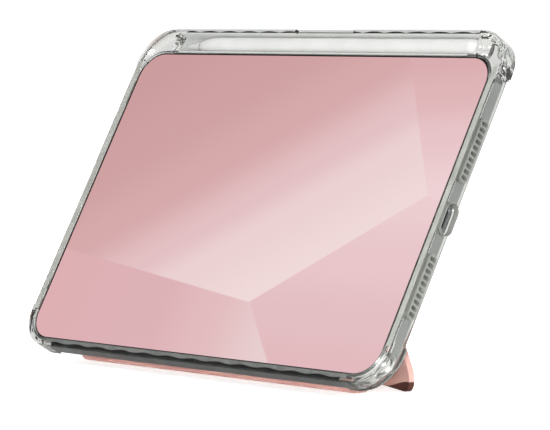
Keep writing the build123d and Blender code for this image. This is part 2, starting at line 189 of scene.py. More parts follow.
def metal(name, colours, roughness, grain, depth=0.002):
    # grain: blotch size along X, Y and Z; a long one shows the direction of rolling or brushing
    material, tree, shader = newMaterial(name)
    stretched = addNode(tree, "ShaderNodeVectorMath",
                        {0: millimetres(tree), 1: [1 / side for side in grain]}, operation="MULTIPLY")
    streaks = addNode(tree, "ShaderNodeTexNoise", {"Vector": stretched, "Scale": 1.0, "Detail": 3.0})
    low, high = roughness
    feed(tree, shader, Metallic=1.0,
         BaseColor=addNode(tree, "ShaderNodeValToRGB", {"Fac": streaks}, twoTone(colours)),
         Roughness=addNode(tree, "ShaderNodeMapRange", {"Value": streaks, "To Min": low, "To Max": high}),
         Normal=addNode(tree, "ShaderNodeBump", {"Height": streaks, "Distance": depth * mm}))
    return material


def softClear():
    # thermoplastic polyurethane, moulded in a polished tool: clear but faintly milky, with soft flow ripples
    look = {"tint": "FBFCFA", "inside": "F4F5F3", "clear": 0.985, "ripple": 7.0, "depth": 0.008,
            "haze": 0.6, "roughness": (0.02, 0.05)}
    material, tree, shader = newMaterial("softClearPolyurethane")
    place = millimetres(tree)
    ripple = addNode(tree, "ShaderNodeTexNoise", {"Vector": place, "Scale": 1 / look["ripple"], "Detail": 1.0})
    haze = addNode(tree, "ShaderNodeTexNoise", {"Vector": place, "Scale": 1 / look["haze"]})
    low, high = look["roughness"]
    feed(tree, shader, BaseColor=linear(look["tint"]), TransmissionWeight=look["clear"], IOR=1.5,
         Roughness=addNode(tree, "ShaderNodeMapRange", {"Value": haze, "To Min": low, "To Max": high}),
         Normal=addNode(tree, "ShaderNodeBump", {"Height": ripple, "Distance": look["depth"] * mm}))
    lightPasses(tree, shader, look["inside"])
    return material


def frostedLining(name, tints):
    # the same polyurethane where the tool was bead blasted: it scatters light, so it looks pale and matt
    look = {"drift": 8.0, "blast": 0.35, "depth": 0.01, "clear": 0.1, "roughness": (0.45, 0.6)}
    material, tree, shader = newMaterial(name)
    place = millimetres(tree)
    drift = addNode(tree, "ShaderNodeTexNoise", {"Vector": place, "Scale": 1 / look["drift"]})
    blast = addNode(tree, "ShaderNodeTexNoise", {"Vector": place, "Scale": 1 / look["blast"]})
    low, high = look["roughness"]
    feed(tree, shader, TransmissionWeight=look["clear"], IOR=1.3,
         BaseColor=addNode(tree, "ShaderNodeValToRGB", {"Fac": drift}, twoTone(tints)),
         Roughness=addNode(tree, "ShaderNodeMapRange", {"Value": blast, "To Min": low, "To Max": high}),
         Normal=addNode(tree, "ShaderNodeBump", {"Height": blast, "Distance": look["depth"] * mm}))
    return material


def hardClear():
    # polycarbonate sheet: clearer and flatter than the soft rim, with hairline rubs
    look = {"tint": "F6F8F6", "rub": (9.0, 0.08, 9.0), "roughness": (0.01, 0.06)}
    material, tree, shader = newMaterial("hardClearPolycarbonate")
    stretched = addNode(tree, "ShaderNodeVectorMath",
                        {0: millimetres(tree), 1: [1 / side for side in look["rub"]]}, operation="MULTIPLY")
    rubs = addNode(tree, "ShaderNodeTexNoise", {"Vector": stretched, "Scale": 1.0})
    low, high = look["roughness"]
    feed(tree, shader, BaseColor=linear(look["tint"]), TransmissionWeight=1.0, IOR=1.58,
         Roughness=addNode(tree, "ShaderNodeMapRange", {"Value": rubs, "To Min": low, "To Max": high}))
    lightPasses(tree, shader, look["tint"])
    return material


def displayGlass():
    # strengthened glass laminated to the lit display: a printed black border round a picture of flat
    # facets, each shaded from one side to the other, under a polished surface
    facets = {"low": (19.6, -42.0), "right": (88.5, 7.5), "leftEdge": (-96.7, -26.0),
              "bottomEdge": (42.5, -66.4), "topEdge": (52.5, 66.4), "rightEdge": (96.7, 5.5)}
    # a facet's direction of shading, the distances along it where that starts and ends, and its colours
    shades = {
        "main": ((0.55, -0.835), (-100, 45), [(0.0, "C99A9B"), (0.3, "CD9FA0"), (0.5, "D4A7A9"),
                                              (0.68, "E1BEC1"), (0.79, "E9CFD0"), (1.0, "EED7D7")]),
        "lower": ((1.0, 0.0), (-97, 40), [(0.0, "DBADB1"), (0.5, "DBB0B5"), (0.7, "E0B9BC"), (1.0, "E6CDCE")]),
        "right": ((0.0, 1.0), (-66, 8), [(0.0, "E0B8BC"), (0.3, "E1BDC1"), (0.6, "E6C4C8"), (1.0, "EACCCF")]),
        "top": ((0.1, -1.0), (-60, 0), [(0.0, "D8ABAE"), (0.3, "DDB3B6"), (0.6, "E5C2C6"), (1.0, "ECCFD2")]),
    }
    finish = {"black": "17100F", "glow": 1.0, "soft": 0.6, "print": -0.1, "smear": 14.0,
              "roughness": (0.03, 0.09)}
    material, tree, shader = newMaterial("displayGlass")
    place = tabletMillimetres(tree)

    def leftOf(start, end):
        # 1 on the left of the line between two points, 0 on its right, blurred over a fraction of a millimetre
        run = (Vector(facets[end]) - Vector(facets[start])).normalized()
        side = Vector((-run.y, run.x))
        line = side.dot(Vector(facets[start]))
        along = addNode(tree, "ShaderNodeVectorMath", {0: place, 1: (*side, 0.0)},
                        operation="DOT_PRODUCT").outputs["Value"]
        return addNode(tree, "ShaderNodeMapRange", {"Value": along, "From Min": line - finish["soft"] / 2,
                                                    "From Max": line + finish["soft"] / 2})

    def inAll(*masks):
        # 1 where every mask is 1
        whole = masks[0]
        for mask in masks[1:]:
            whole = addNode(tree, "ShaderNodeMath", {0: whole, 1: mask}, operation="MULTIPLY")
        return whole

    def shade(name):
        direction, (low, high), stops = shades[name]
        along = addNode(tree, "ShaderNodeVectorMath", {0: place, 1: (*direction, 0.0)},
                        operation="DOT_PRODUCT").outputs["Value"]
        share = addNode(tree, "ShaderNodeMapRange", {"Value": along, "From Min": low, "From Max": high})
        return addNode(tree, "ShaderNodeValToRGB", {"Fac": share}, stops, "EASE")

    areas = {
        "lower": inAll(leftOf("low", "leftEdge"), leftOf("bottomEdge", "low")),
        "right": inAll(leftOf("low", "bottomEdge"), leftOf("right", "low"), leftOf("rightEdge", "right")),
        "top": inAll(leftOf("topEdge", "right"), leftOf("right", "rightEdge")),
    }
    picture = shade("main")
    for name, area in areas.items():
        picture = addNode(tree, "ShaderNodeMix", {0: area, 6: picture, 7: shade(name)},
                          data_type="RGBA").outputs[2]
    # the border: a rounded rectangle of print, and black wherever the face isn't the front one
    corner = glassSheet["corner"] - glassSheet["border"]
    wide = (glassSheet["border"] + glassSheet["rightBorder"]) / 2
    half = (glassHalfU - wide - corner, glassHalfV - glassSheet["border"] - corner, 1000.0)
    beyond = addNode(tree, "ShaderNodeVectorMath", {0: place, 1: (wide - glassSheet["border"], 0, 0)})
    for operation, other in (("ABSOLUTE", (0, 0, 0)), ("SUBTRACT", half), ("MAXIMUM", (0, 0, 0))):
        beyond = addNode(tree, "ShaderNodeVectorMath", {0: beyond, 1: other}, operation=operation)
    reach = addNode(tree, "ShaderNodeVectorMath", {0: beyond}, operation="LENGTH").outputs["Value"]
    printed = addNode(tree, "ShaderNodeMath", {0: reach, 1: corner}, operation="GREATER_THAN")
    depth = addNode(tree, "ShaderNodeSeparateXYZ", {0: place}).outputs["Z"]
    behind = addNode(tree, "ShaderNodeMath", {0: depth, 1: finish["print"]}, operation="LESS_THAN")
    dark = addNode(tree, "ShaderNodeMath", {0: printed, 1: behind}, operation="MAXIMUM")
    glow = addNode(tree, "ShaderNodeMix", {0: dark, 6: picture, 7: linear("000000")}, data_type="RGBA")
    # a polished surface keeps a trace of fingerprints
    smear = addNode(tree, "ShaderNodeTexNoise", {"Vector": place, "Scale": 1 / finish["smear"], "Detail": 3.0})
    low, high = finish["roughness"]
    feed(tree, shader, BaseColor=linear(finish["black"]), IOR=1.5,
         EmissionColor=glow.outputs[2], EmissionStrength=finish["glow"],
         Roughness=addNode(tree, "ShaderNodeMapRange", {"Value": smear, "To Min": low, "To Max": high}))
    return material


def pressedLeather():
    # polyurethane leather pressed over board: a fine pebble grain, soft sheen and slightly darker dips
    look = {"colours": ("EDB6AC", "F5C9C1"), "pebble": 0.55, "depth": 0.05, "cloud": 12.0, "dip": -0.35,
            "roughness": (0.48, 0.6), "sheen": 0.15}
    material, tree, shader = newMaterial("pressedLeather")
    place = millimetres(tree)
    pebble = addNode(tree, "ShaderNodeTexVoronoi", {"Vector": place, "Scale": 1 / look["pebble"]},
                     feature="SMOOTH_F1")
    cloud = addNode(tree, "ShaderNodeTexNoise", {"Vector": place, "Scale": 1 / look["cloud"], "Detail": 3.0})
    tone = addNode(tree, "ShaderNodeMath", {0: pebble, 1: look["dip"], 2: cloud}, operation="MULTIPLY_ADD")
    low, high = look["roughness"]
    feed(tree, shader, SheenWeight=look["sheen"], SheenRoughness=0.4,
         BaseColor=addNode(tree, "ShaderNodeValToRGB", {"Fac": tone}, twoTone(look["colours"], 0.15, 0.6)),
         Roughness=addNode(tree, "ShaderNodeMapRange", {"Value": cloud, "To Min": low, "To Max": high}),
         Normal=addNode(tree, "ShaderNodeBump", {"Height": pebble, "Distance": -look["depth"] * mm}))
    return material


def darkToePads():
    # dark brown toe pads at the foot of the stand, matt, with a fine texture
    return moulded("darkToePads", ("4A2620", "5B322A"), roughness=(0.55, 0.75), texture=0.4, depth=0.02,
                   ior=1.41)


def glazedLens():
    # coated optical glass over a dark barrel: nearly black with a violet-green cast
    look = {"colours": ("0B0D14", "15131F"), "cast": "C9D8FF", "drift": 6.0}
    material, tree, shader = newMaterial("coatedLens")
    coating = addNode(tree, "ShaderNodeTexNoise", {"Vector": millimetres(tree), "Scale": 1 / look["drift"]})
    feed(tree, shader, Roughness=0.03, IOR=1.6, CoatWeight=1.0, CoatRoughness=0.02,
         CoatTint=linear(look["cast"]),
         BaseColor=addNode(tree, "ShaderNodeValToRGB", {"Fac": coating}, twoTone(look["colours"], 0.35, 0.65)))
    return material


def phosphorFlash():
    # a moulded clear cap over a yellow phosphor: a pebbled lens that looks cream
    look = {"colours": ("F4E9B8", "E8D48E"), "pebblesPerMm": 2.2, "depth": 0.05}
    material, tree, shader = newMaterial("phosphorFlash")
    pebbles = addNode(tree, "ShaderNodeTexVoronoi",
                      {"Vector": millimetres(tree), "Scale": look["pebblesPerMm"]})
    feed(tree, shader, Roughness=0.15, CoatWeight=1.0, CoatRoughness=0.05,
         BaseColor=addNode(tree, "ShaderNodeValToRGB", {"Fac": pebbles}, twoTone(look["colours"], 0.2, 0.8)),
         Normal=addNode(tree, "ShaderNodeBump", {"Height": pebbles, "Distance": look["depth"] * mm}))
    return material


def pouchFoil():
    # a polymer cell in matt black laminate, embossed where the foil is crimped
    return moulded("pouchFoil", ("26272A", "2E3034"), roughness=(0.38, 0.5), texture=1.6, depth=0.03)


def solderMask():
    # a fibreglass board under green-black solder mask, with lighter copper runs showing through
    look = {"mask": ("0E2A1C", "12301F"), "run": "2A5A3C", "pitch": 1.8, "runWidth": 0.03, "depth": 0.02}
    material, tree, shader = newMaterial("solderMask")
    lines = addNode(tree, "ShaderNodeTexBrick",
                    {"Vector": tabletMillimetres(tree), "Scale": 1 / look["pitch"],
                     "Mortar Size": look["runWidth"], "Color1": linear(look["mask"][0]),
                     "Color2": linear(look["mask"][1]), "Mortar": linear(look["run"])})
    runs = lines.outputs["Fac"]
    feed(tree, shader, BaseColor=lines, Roughness=0.35, CoatWeight=0.3, CoatRoughness=0.2,
         Normal=addNode(tree, "ShaderNodeBump", {"Height": runs, "Distance": look["depth"] * mm}))
    return material


def amberFlex():
    # polyimide film over copper: amber, with the tracks' parallel lines
    look = {"colours": ("7A4A14", "A8702A"), "pitch": 1.184, "depth": 0.01}
    material, tree, shader = newMaterial("amberFlex")
    tracks = addNode(tree, "ShaderNodeTexWave",
                     {"Vector": tabletMillimetres(tree), "Scale": waveLength / look["pitch"]},
                     bands_direction="Y").outputs["Fac"]
    feed(tree, shader, Roughness=0.4, CoatWeight=0.4, CoatRoughness=0.15,
         BaseColor=addNode(tree, "ShaderNodeValToRGB", {"Fac": tracks}, twoTone(look["colours"], 0.4, 0.6)),
         Normal=addNode(tree, "ShaderNodeBump", {"Height": tracks, "Distance": look["depth"] * mm}))
    return material


def woundCopper():
    # enamelled copper wire in flat turns
    look = {"enamel": ("8A3F1A", "C4743A"), "pitch": 0.493, "depth": 0.05, "roughness": (0.25, 0.4)}
    material, tree, shader = newMaterial("woundCopper")
    turns = addNode(tree, "ShaderNodeTexWave",
                    {"Vector": millimetres(tree), "Scale": waveLength / look["pitch"]},
                    bands_direction="Z").outputs["Fac"]
    low, high = look["roughness"]
    feed(tree, shader, Metallic=1.0,
         BaseColor=addNode(tree, "ShaderNodeValToRGB", {"Fac": turns}, twoTone(look["enamel"], 0.2, 0.8)),
         Roughness=addNode(tree, "ShaderNodeMapRange", {"Value": turns, "To Min": low, "To Max": high}),
         Normal=addNode(tree, "ShaderNodeBump", {"Height": turns, "Distance": look["depth"] * mm}))
    return material


def goldContacts():
    # gold flash over nickel: bright, warm and smooth
    return metal("goldContacts", ("D9A94A", "E8BE66"), (0.18, 0.3), (2.0, 0.2, 0.2))


def wovenAcoustic():
    # black monofilament cloth, woven open, drawn at four times the real 0.1 mm pitch so that it shows
    look = {"pitch": 0.434, "colours": ("0C0C0D", "2A2B2D"), "depth": 0.04}
    material, tree, shader = newMaterial("wovenAcoustic")
    place = millimetres(tree)
    warp, weft = [addNode(tree, "ShaderNodeTexWave", {"Vector": place, "Scale": waveLength / look["pitch"]},
                          bands_direction=direction).outputs["Fac"] for direction in "YZ"]
    weave = addNode(tree, "ShaderNodeMath", {0: warp, 1: weft}, operation="MAXIMUM")
    feed(tree, shader, Roughness=0.8,
         BaseColor=addNode(tree, "ShaderNodeValToRGB", {"Fac": weave}, twoTone(look["colours"], 0.5, 0.9)),
         Normal=addNode(tree, "ShaderNodeBump", {"Height": weave, "Distance": look["depth"] * mm}))
    return material


def paintedShadeSheet(name, colours, roughness=0.35, ior=1.3):
    # painted shade: a sheet coloured grey to black for the shade seen in the hollows of the clear rim
    look = {"drift": 5.0, "vary": 0.1, "depth": 0.2}
    material, tree, shader = newMaterial(name)
    drift = addNode(tree, "ShaderNodeTexNoise",
                    {"Vector": millimetres(tree), "Scale": 1 / look["drift"], "Detail": 3.0})
    feed(tree, shader, IOR=ior,
         BaseColor=addNode(tree, "ShaderNodeValToRGB", {"Fac": drift}, twoTone(colours)),
         Roughness=addNode(tree, "ShaderNodeMapRange", {"Value": drift, "To Min": roughness - look["vary"],
                                                        "To Max": roughness + look["vary"]}),
         Normal=addNode(tree, "ShaderNodeBump", {"Height": drift, "Distance": look["depth"] * mm}))
    return material


print("materials")
aluminium = anodisedAluminium()
display = displayGlass()
softCase = softClear()
frosted = frostedLining("frostedChannel", ("E2E4E2", "ECEDEB"))
# the lips' and the side walls' linings get darker greys, which are painted shade
frostedLipPaintedShade = frostedLining("frostedLipPaintedShade", ("BBBCB7", "D6D7D2"))
frostedWallPaintedShade = frostedLining("frostedWallPaintedShade", ("9C9E99", "B0B2AD"))
hardCase = hardClear()
leather = pressedLeather()
toePads = darkToePads()
whiteStylus = moulded("satinWhiteAbs", ("E6E6E4", "EDEDEB"), roughness=(0.3, 0.4), texture=0.3,
                      depth=0.002, coat=0.15)
greyPlastic = moulded("greyAcetal", ("626466", "707274"))
blackFilm = moulded("blackAdhesiveFilm", ("161011", "1D1718"), roughness=(0.5, 0.65))
blackModule = moulded("blackNylon", ("1D1E20", "26282B"), roughness=(0.45, 0.6), texture=0.3,
                      depth=0.01)
lensGlass = glazedLens()
flashCap = phosphorFlash()
pouch = pouchFoil()
mask = solderMask()
flex = amberFlex()
copper = woundCopper()
steel = metal("stampedSteel", ("B2B4B6", "C2C4C6"), (0.28, 0.42), (0.4, 6.0, 6.0))
nickel = metal("nickelPlate", ("A6A8AB", "B4B6B9"), (0.15, 0.3), (1.2, 1.2, 1.2))
goldPlate = goldContacts()
acousticCloth = wovenAcoustic()
# grey, black and teal grey sheets of painted shade and painted shadow, laid inside the clear rim
paintedShadeGreyRib = paintedShadeSheet("paintedShadeGreyRib", ("B4B6B6", "CCCECE"))
paintedShadowBlackRib = paintedShadeSheet("paintedShadowBlackRib", ("010101", "060606"), roughness=0.3, ior=1.05)
paintedShadeTealWall = paintedShadeSheet("paintedShadeTealWall", ("4C5454", "6C7474"))
paintedShadeGreyLip = paintedShadeSheet("paintedShadeGreyLip", ("6A6C6A", "868886"))

finishes = {
    "aluminium": aluminium, "glass": display, "display": display, "clear_soft": softCase,
    "clear_hard": hardCase, "pink_cover": leather, "dark_toe": toePads, "white_gloss": whiteStylus,
    "grey_plastic": greyPlastic, "black_film": blackFilm, "module": blackModule, "lens": lensGlass,
    "flash": flashCap, "cell_foil": pouch, "board": mask, "flex": flex, "copper": copper,
    "steel": steel, "magnet": nickel,
}
for row in frame["record"]["subparts"]:
    node = nodes[row["node"]]
    node.data.materials.clear()
    node.data.materials.append(finishes[row["material_slot"]])
print("finishes on", len(nodes), "parts")


# building small pieces

def ringLoft(rings):
    # a closed skin through rings of points, one after another, with both ends capped
    mesh = bmesh.new()
    made = [[mesh.verts.new(point) for point in ring] for ring in rings]
    for before, after in zip(made, made[1:]):
        for i in range(len(before)):
            j = (i + 1) % len(before)
            mesh.faces.new((before[i], before[j], after[j], after[i]))
    mesh.faces.new(made[0][::-1])
    mesh.faces.new(made[-1])
    bmesh.ops.recalc_face_normals(mesh, faces=mesh.faces)
    return mesh


def addPiece(name, mesh, material, body=None, space=onTablet, smooth=35, hollow=False):
    # hollow turns the skin inside out, for a pocket of air inside a clear solid
    mesh.transform(space)
    if hollow:
        bmesh.ops.reverse_faces(mesh, faces=mesh.faces)
    data = bpy.data.meshes.new(name)
    mesh.to_mesh(data)
    mesh.free()
    data.materials.append(material)
    data.shade_smooth()
    data.set_sharp_from_angle(angle=math.radians(smooth))
    piece = bpy.data.objects.new(name, data)
    bpy.context.scene.collection.objects.link(piece)
    if body:
        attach(piece, body)
    return piece


def roundedBox(middle, size, radius):
    # a box with bevelled edges, in the space of the piece
    mesh = bmesh.new()
    bmesh.ops.create_cube(mesh, size=1.0, matrix=Matrix.Translation(middle) @ Matrix.Diagonal((*size, 1.0)))
    bmesh.ops.bevel(mesh, geom=list(mesh.edges), offset=radius, segments=2, affect="EDGES", profile=0.5)
    return mesh


def joined(meshes):
    whole = bmesh.new()
    for part in meshes:
        data = bpy.data.meshes.new("part")
        part.to_mesh(data)
        part.free()
        whole.from_mesh(data)
        bpy.data.meshes.remove(data)
    return whole


# clear case: sheets of painted shade inside the rim, frosted linings, corner cushions

def thickened(path, thickness):
    # the outline of a sheet: path, then the same path moved to its left by thickness, in reverse
    moved = []
    for i, point in enumerate(path):
        before, after = Vector(path[max(i - 1, 0)]), Vector(path[min(i + 1, len(path) - 1)])
        run = (after - before).normalized()
        moved.append((point[0] - run.y * thickness, point[1] + run.x * thickness))
    return [tuple(point) for point in path] + moved[::-1]


# the rim's outer edges: the flat front, its small round, the wall and a wider round at the back;
# under is how deep a sheet lies in the rim, sheet its thickness and step the spacing of its sections
rim = {"front": 0.8, "round": 0.7, "backRound": 3.2, "back": -7.8, "bottom": -69.8, "top": 77.8,
       "under": 0.07, "sheet": 0.15, "step": 0.75}


def rimStrip(name, along, reach, section, material, pitch=13.5):
    # a sheet lofted along u or v; section(phase) is its outline, where phase runs 0..1 over each pitch
    count = round((reach[1] - reach[0]) / rim["step"])
    rings = []
    for i in range(count + 1):
        place = reach[0] + (reach[1] - reach[0]) * i / count
        outline = section((place / pitch) % 1.0)
        rings.append([(place, across, n) if along == "u" else (across, place, n) for across, n in outline])
    return addPiece(name, ringLoft(rings), material, "tablet")


def roundedEdge(outer, inward, radius, centreN, angles):
    # points along an edge round, a little under its surface; angle 0 faces outward, 90 faces the front
    centre = outer + inward * radius
    inner = radius - rim["under"]
    return [(centre - inward * inner * math.cos(math.radians(a)),
             centreN + inner * math.sin(math.radians(a))) for a in angles]


def bottomRibSection(phase):
    # the band of painted shadow: thin where it starts, thick where it ends, wrapped round the lower front edge
    look = {"start": -68.1, "sway": 0.3, "lead": 0.2, "end": -0.4, "grow": 1.3, "full": 0.8, "fade": 0.85}
    if phase < look["fade"]:
        rise = min(1.0, phase / look["full"])
    else:
        rise = (1.0 - phase) / (1.0 - look["fade"])
    edge = roundedEdge(rim["bottom"], 1, rim["round"], rim["front"] - rim["round"], (90, 60, 30, 0))
    start = look["start"] + look["sway"] * math.cos(math.tau * (phase - look["lead"]))
    end = look["end"] - look["grow"] * rise
    return thickened([(start, edge[0][1])] + edge + [(edge[-1][0], end)], rim["sheet"])


def bottomWallSection(phase):
    # painted shade on the wall below the shadow band, down round the back edge
    edge = roundedEdge(rim["bottom"], 1, rim["backRound"], rim["back"] + rim["backRound"], (0, -20, -40, -60))
    return thickened([(edge[0][0], 0.0)] + edge, 0.8 * rim["sheet"])[::-1]


def topRibSection(phase):
    # painted shade in the rim beside the channel's mouth; its inner edge is a row of arches
    look = {"start": 76.15, "arch": 0.7}
    edge = roundedEdge(rim["top"], -1, rim["round"], rim["front"] - rim["round"], (90, 60, 30, 10))
    start = look["start"] + look["arch"] * abs(math.sin(math.pi * phase))
    return thickened([(start, edge[0][1])] + edge, rim["sheet"])[::-1]


def flatSection(low, high, n=0.7, thick=0.07):
    return lambda phase: [(low, n), (high, n), (high, n - thick), (low, n - thick)]


topRibPitch = 11.6
# painted shadow and shade: black, teal grey and grey sheets inside the clear rim, at the bottom and beside the
# channel's mouth
rimStrip("bottomRib", "u", (-80, 81), bottomRibSection, paintedShadowBlackRib)
rimStrip("bottomWall", "u", (-82, 83), bottomWallSection, paintedShadeTealWall)
rimStrip("bottomLip", "u", (-84, 84), flatSection(low=-68.7, high=-66.55, n=0.54), paintedShadeGreyLip)
rimStrip("topRibLeft", "u", (-84, -14.5), topRibSection, paintedShadeGreyRib, topRibPitch)
rimStrip("topRibRight", "u", (18.5, 84), topRibSection, paintedShadeGreyRib, topRibPitch)
rimStrip("notchFloor", "u", (-13.5, 17.5), flatSection(low=76.4, high=77.6, n=-0.37), frosted)
rimStrip("topLip", "u", (-78, 82), flatSection(low=66.5, high=67.25), frosted)
# the lips' frosted lining is given a darker grey, which is painted shade
rimStrip("rightLip", "v", (-54, 62), flatSection(low=97.15, high=99.4), frostedLipPaintedShade)
rimStrip("leftLip", "v", (-54, 62), flatSection(low=-99.4, high=-96.85), frostedLipPaintedShade)


def slotOutline(v, n, alongV, alongN, count=20):
    # a rounded slot in a side wall, its longer side along v or n; no point is level with its centre
    radius = min(alongV, alongN) / 2
    points = []
    for i in range(count):
        angle = 2 * math.pi * (i + 0.5) / count
        side, end = math.cos(angle) * radius, math.sin(angle) * radius
        side += math.copysign(alongV / 2 - radius, side)
        end += math.copysign(alongN / 2 - radius, end)
        points.append((v + side, n + end))
    return points


def perforated(outline, holes, reach):
    # a block from reach[0] to reach[1] along u, pierced by holes
    loops = [outline] + [hole[::-1] for hole in holes]
    flat = [point for loop in loops for point in loop]
    triangles = tessellate_polygon([[(a, b, 0) for a, b in loop] for loop in loops])
    mesh = bmesh.new()
    faces = [[mesh.verts.new((u, a, b)) for a, b in flat] for u in reach]
    for side in faces:
        for triangle in triangles:
            mesh.faces.new([side[k] for k in triangle])
    start = 0
    for loop in loops:
        for k in range(len(loop)):
            a, b = start + k, start + (k + 1) % len(loop)
            mesh.faces.new((faces[0][a], faces[0][b], faces[1][b], faces[1][a]))
        start += len(loop)
    bmesh.ops.recalc_face_normals(mesh, faces=mesh.faces)
    return mesh


# frosted blocks where the tool's cores form the speaker slots and the port cut-out, coloured a darker grey that is
# painted shade
sideWall = {"inner": 97.6, "outer": 99.97, "middleN": -3.15}
slots = {"first": 16.9, "pitch": 2.5, "right": 10, "left": 8, "long": 3.36, "wide": 1.66,
         "blockLonger": 4.2, "blockHigh": 4.3}
port = {"n": -3.9, "alongV": 12.56, "alongN": 6.36, "wall": 0.25, "points": 40}
rightReach = (sideWall["inner"], sideWall["outer"])
leftReach = (-sideWall["outer"], -sideWall["inner"])
blocks = []
for count, reach in ((slots["right"], rightReach), (slots["left"], leftReach)):
    for end in (1, -1):
        places = [end * (slots["first"] + slots["pitch"] * i) for i in range(count)]
        holes = [slotOutline(v, sideWall["middleN"], slots["wide"], slots["long"]) for v in places]
        middle = (places[0] + places[-1]) / 2
        length = abs(places[-1] - places[0]) + slots["blockLonger"]
        outline = slotOutline(middle, sideWall["middleN"], length, slots["blockHigh"])
        blocks.append(perforated(outline, holes, reach))
portHole, portBlock = [slotOutline(0, port["n"], port["alongV"] + more, port["alongN"] + more, port["points"])
                       for more in (0, 2 * port["wall"])]
blocks.append(perforated(portBlock, [portHole], rightReach))
addPiece("speakerBlocks", joined(blocks), frostedWallPaintedShade, "tablet")

# small black dots near the corners of the front face, in the same black as the painted shadow band
mark = {"places": ((86.4, 67.3), (98.3, 59.3), (-96.5, 62.6), (-97.9, 61.1)), "n": 0.28, "radius": 0.45}
marks = []
for u, v in mark["places"]:
    dot = bmesh.new()
    bmesh.ops.create_uvsphere(dot, u_segments=12, v_segments=8, radius=mark["radius"],
                              matrix=Matrix.Translation((u, v, mark["n"])))
    marks.append(dot)
addPiece("cornerBlackDots", joined(marks), paintedShadowBlackRib, "tablet")


def channelLining():
    # a frosted half pipe just under the skin of the stylus channel, with a straight wall up to the mouth
    look = {"beyond": 0.06, "thick": 0.06, "top": 0.1, "turn": (0, -205), "steps": 18, "ends": (-81.98, 84.88)}
    low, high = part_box("stylus_barrel")
    centre = onTablet.inverted() @ ((low + high) / 2)
    radius = (high.y - low.y) / 2 / mm + look["beyond"]
    inner, outer = [], []
    for i in range(look["steps"] + 1):
        angle = math.radians(look["turn"][0] + (look["turn"][1] - look["turn"][0]) * i / look["steps"])
        for ring, r in ((inner, radius), (outer, radius + look["thick"])):
            ring.append((centre.y + r * math.cos(angle), centre.z + r * math.sin(angle)))
    inner.insert(0, (inner[0][0], look["top"]))
    outer.insert(0, (outer[0][0], look["top"]))
    section = inner + outer[::-1]
    sheets = [ringLoft([[(u, v, n) for v, n in section] for u in look["ends"]])]
    # a flat sheet on each end wall
    disc = outer[1:-1]
    for u, turn in zip(look["ends"], (1, -1)):
        faces = (u, u + turn * look["thick"])
        sheets.append(ringLoft([[(face, v, n) for v, n in disc] for face in faces]))
    return addPiece("channelLining", joined(sheets), frosted, "tablet", smooth=60)


channelLining()


def cornerCushion(name, side, end, lobes):
    # a pillow of trapped air that follows the outside corner: side and end are 1 or -1 along u and v
    look = {"centreU": 85.2, "upperV": 62.8, "lowerV": -54.8, "inner": 11.4, "outer": 13.9,
            "deep": (-6.0, -0.6), "steps": 26, "arc": (4, 82), "plump": 0.6, "taper": 5, "tip": 0.2,
            "neck": 0.55, "shallow": 0.7, "dip": 0.9}
    centreU = side * look["centreU"]
    centreV = look["upperV"] if end > 0 else look["lowerV"]
    rings = []
    for i in range(look["steps"] + 1):
        share = i / look["steps"]
        angle = math.radians(look["arc"][0] + look["arc"][1] * share)
        swell = abs(math.sin(math.pi * lobes * share)) ** look["plump"]
        fade = min(1.0, look["taper"] * min(share, 1 - share) + look["tip"])
        reach = fade * (look["neck"] + (1 - look["neck"]) * swell)
        inner = look["outer"] - (look["outer"] - look["inner"]) * reach
        low = look["deep"][0] * (look["shallow"] + (1 - look["shallow"]) * swell * fade)
        high = look["deep"][1] - look["dip"] * (1 - swell * fade)
        # the section's corners are cut back by a few tenths of a millimetre
        section = [(look["outer"], high - 0.6), (look["outer"], low + 0.8), (look["outer"] - 0.6, low),
                   (inner + 0.3, low + 0.2), (inner, (low + high) / 2), (inner + 0.4, high)]
        rings.append([(centreU + side * radius * math.cos(angle), centreV + end * radius * math.sin(angle), n)
                      for radius, n in section])
    return addPiece(name, ringLoft(rings), softCase, "tablet", hollow=True, smooth=24)


cornerCushion("cushionUpperRight", side=1, end=1, lobes=2)
cornerCushion("cushionLowerRight", side=1, end=-1, lobes=2)
cornerCushion("cushionLowerLeft", side=-1, end=-1, lobes=3)
print("clear case details")


# ports and speakers

def usbContacts():
    # gold pads on both faces of the tongue, half a millimetre apart
    look = {"count": 12, "pitch": 0.5, "width": 0.25, "long": 3.0, "proud": 0.03, "tongue": 0.7,
            "setBack": 1.2, "bevel": 0.01}
    low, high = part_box("usb_c_receptacle")
    middleU = high.x / mm - look["setBack"] - look["long"] / 2
    pads = []
    for face in (1, -1):
        for i in range(look["count"]):
            v = (i - (look["count"] - 1) / 2) * look["pitch"]
            n = sideWall["middleN"] + face * (look["tongue"] / 2)
            size = (look["long"], look["width"], 2 * look["proud"])
            pads.append(roundedBox((middleU, v, n), size, look["bevel"]))
    return addPiece("usbContacts", joined(pads), goldPlate, "tablet")


def speakerCloth():
    # acoustic cloth behind each row of holes
    look = {"thick": 0.25, "high": 2.0, "start": 15.2, "bevel": 0.05,
            "rows": ((95.95, 41.4), (-96.02, 36.4))}
    sheets = []
    for wall, end in look["rows"]:
        for sign in (1, -1):
            middle = (wall, sign * (look["start"] + end) / 2, sideWall["middleN"])
            size = (look["thick"], end - look["start"], look["high"])
            sheets.append(roundedBox(middle, size, look["bevel"]))
    return addPiece("speakerCloth", joined(sheets), acousticCloth, "tablet")


usbContacts()
speakerCloth()
print("ports and speakers")


# stand cover: soft skins over the creases

# board is the panels' thickness, lap how far a skin runs onto each, off how far it stands off them
crease = {"thick": 0.25, "lap": 3.4, "off": 0.02, "board": 2.2, "gap": 1.4, "headerOff": 0.15,
          "wingGap": 0.15, "belowHinge": 0.35, "halfWidth": 29.4, "height": (1.0, 77.5),
          "blendPast": (0.4, 0.5), "wingBlendPast": 0.2, "wingBlendZ": 40, "points": 4}


